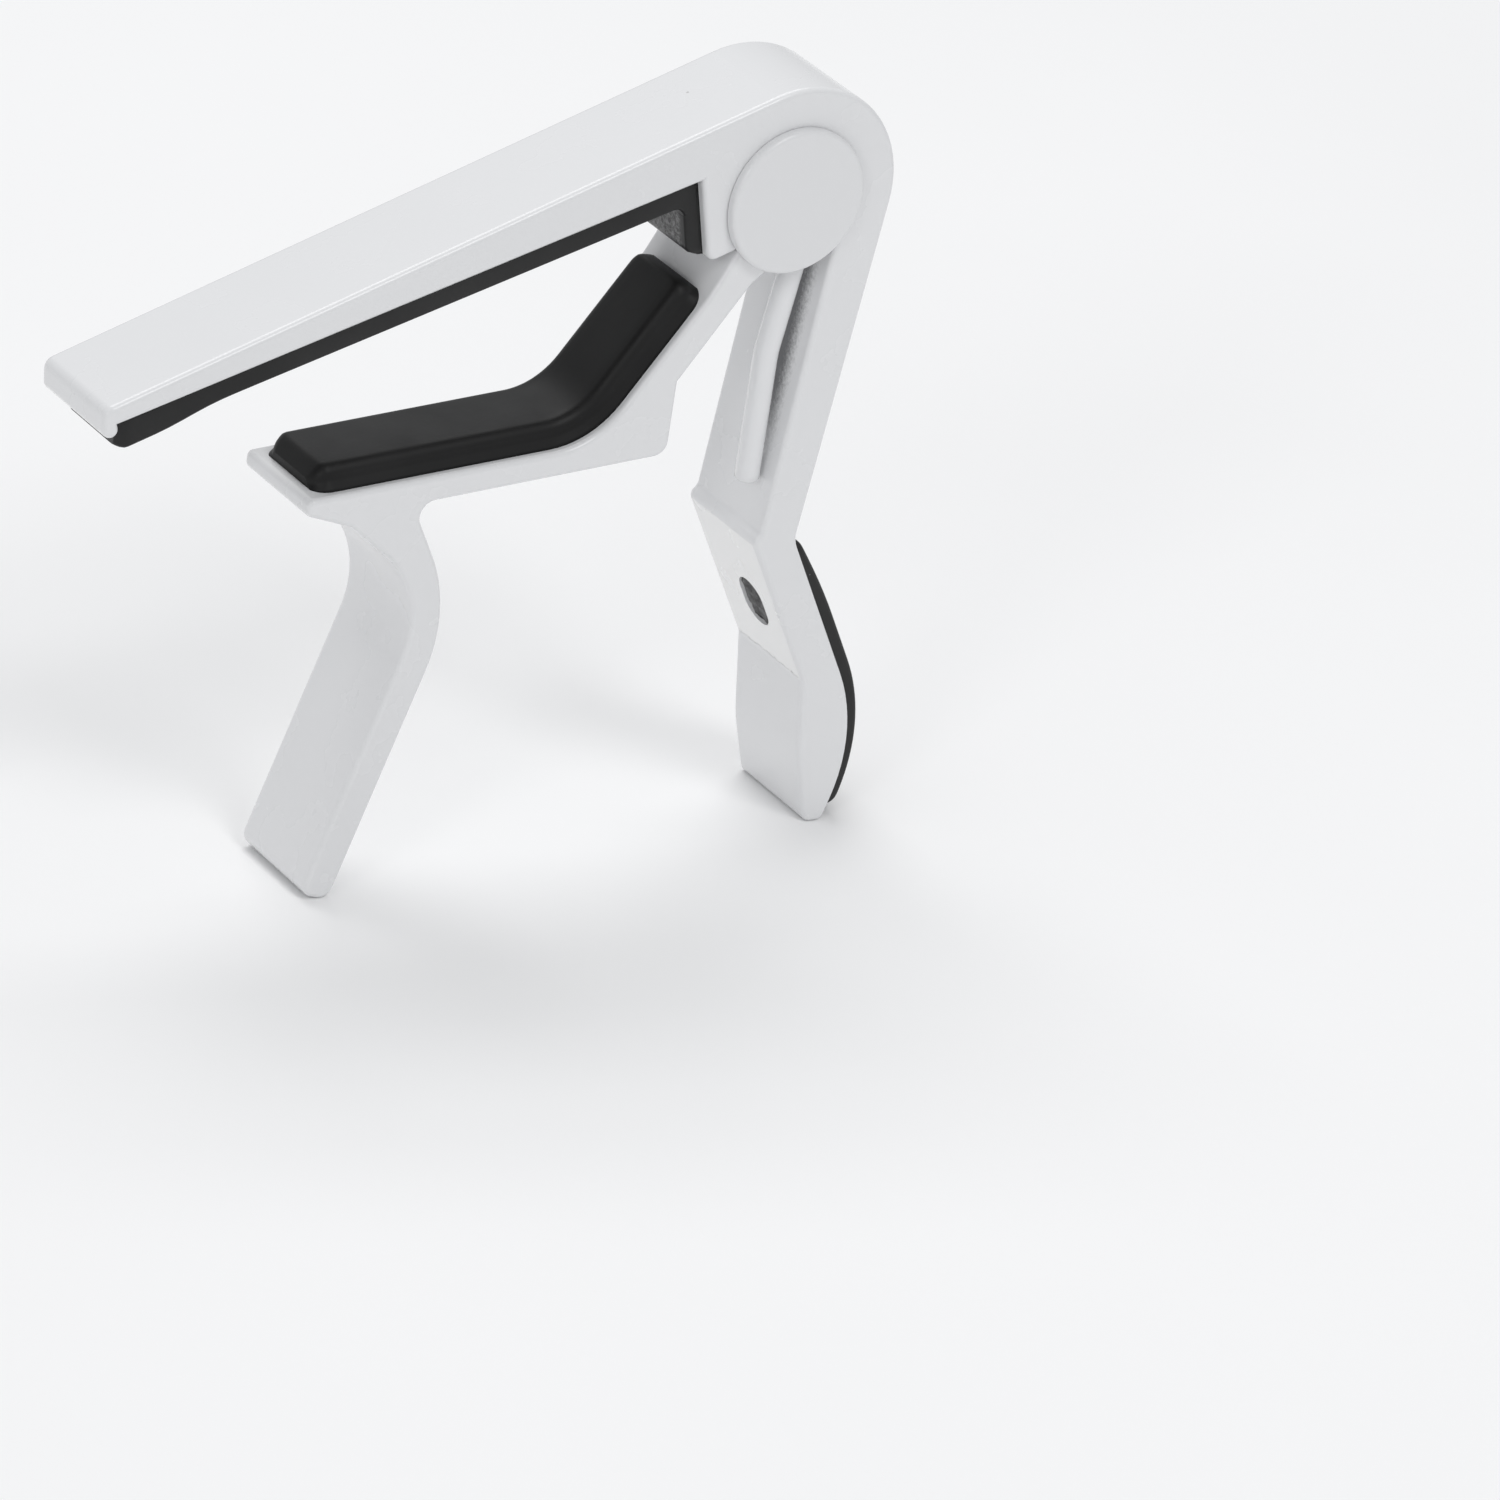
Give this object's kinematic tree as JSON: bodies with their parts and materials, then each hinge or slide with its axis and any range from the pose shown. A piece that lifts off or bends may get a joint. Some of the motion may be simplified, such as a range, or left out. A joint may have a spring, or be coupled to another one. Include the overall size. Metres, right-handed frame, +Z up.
{
  "type": "guitar capo",
  "caption": "Spring-loaded trigger capo for a guitar neck: a padded bar and a bent, padded cradle arm, each with its squeeze handle, hinged on a sprung pivot.",
  "frame": {"origin": "bottom centre of the whole capo at rest, standing on its two handle tips", "axes": "+Z up; +X from the bar's free tip toward the pivot and the rear handle; +Y along the pivot axis, away from the pin's head"},
  "size_m": [0.0958, 0.015, 0.0836],
  "materials": {
    "bar_paint": "gloss white paint",
    "cradle_paint": "gloss white paint",
    "head_paint": "satin white paint",
    "bar_rubber": "satin black",
    "cradle_rubber": "satin black",
    "grip_rubber": "satin black",
    "spring_wire": "gloss white coating",
    "sleeve_plastic": "matt",
    "washer_plastic": "matt"
  },
  "bodies": {
    "bar": {"bar_frame": "bar_paint", "bar_pad": "bar_rubber", "handle_pad": "grip_rubber", "pivot_pin": "head_paint", "pin_cap": "head_paint", "spring_sleeve": "sleeve_plastic", "torsion_spring": "spring_wire"},
    "cradle": {"cradle_frame": "cradle_paint", "cradle_pad": "cradle_rubber", "lug_washer": "washer_plastic"}
  },
  "joints": [
    {"name": "pivot", "type": "hinge", "parent": "bar", "child": "cradle", "pos_m": [0.02836, 0, 0.0719], "axis": [0, -1, 0], "range_deg": [0, 21], "stiffness_Nm_per_rad": 1.5, "springref_deg": -34.38, "deforming": ["torsion_spring"]}
  ]
}
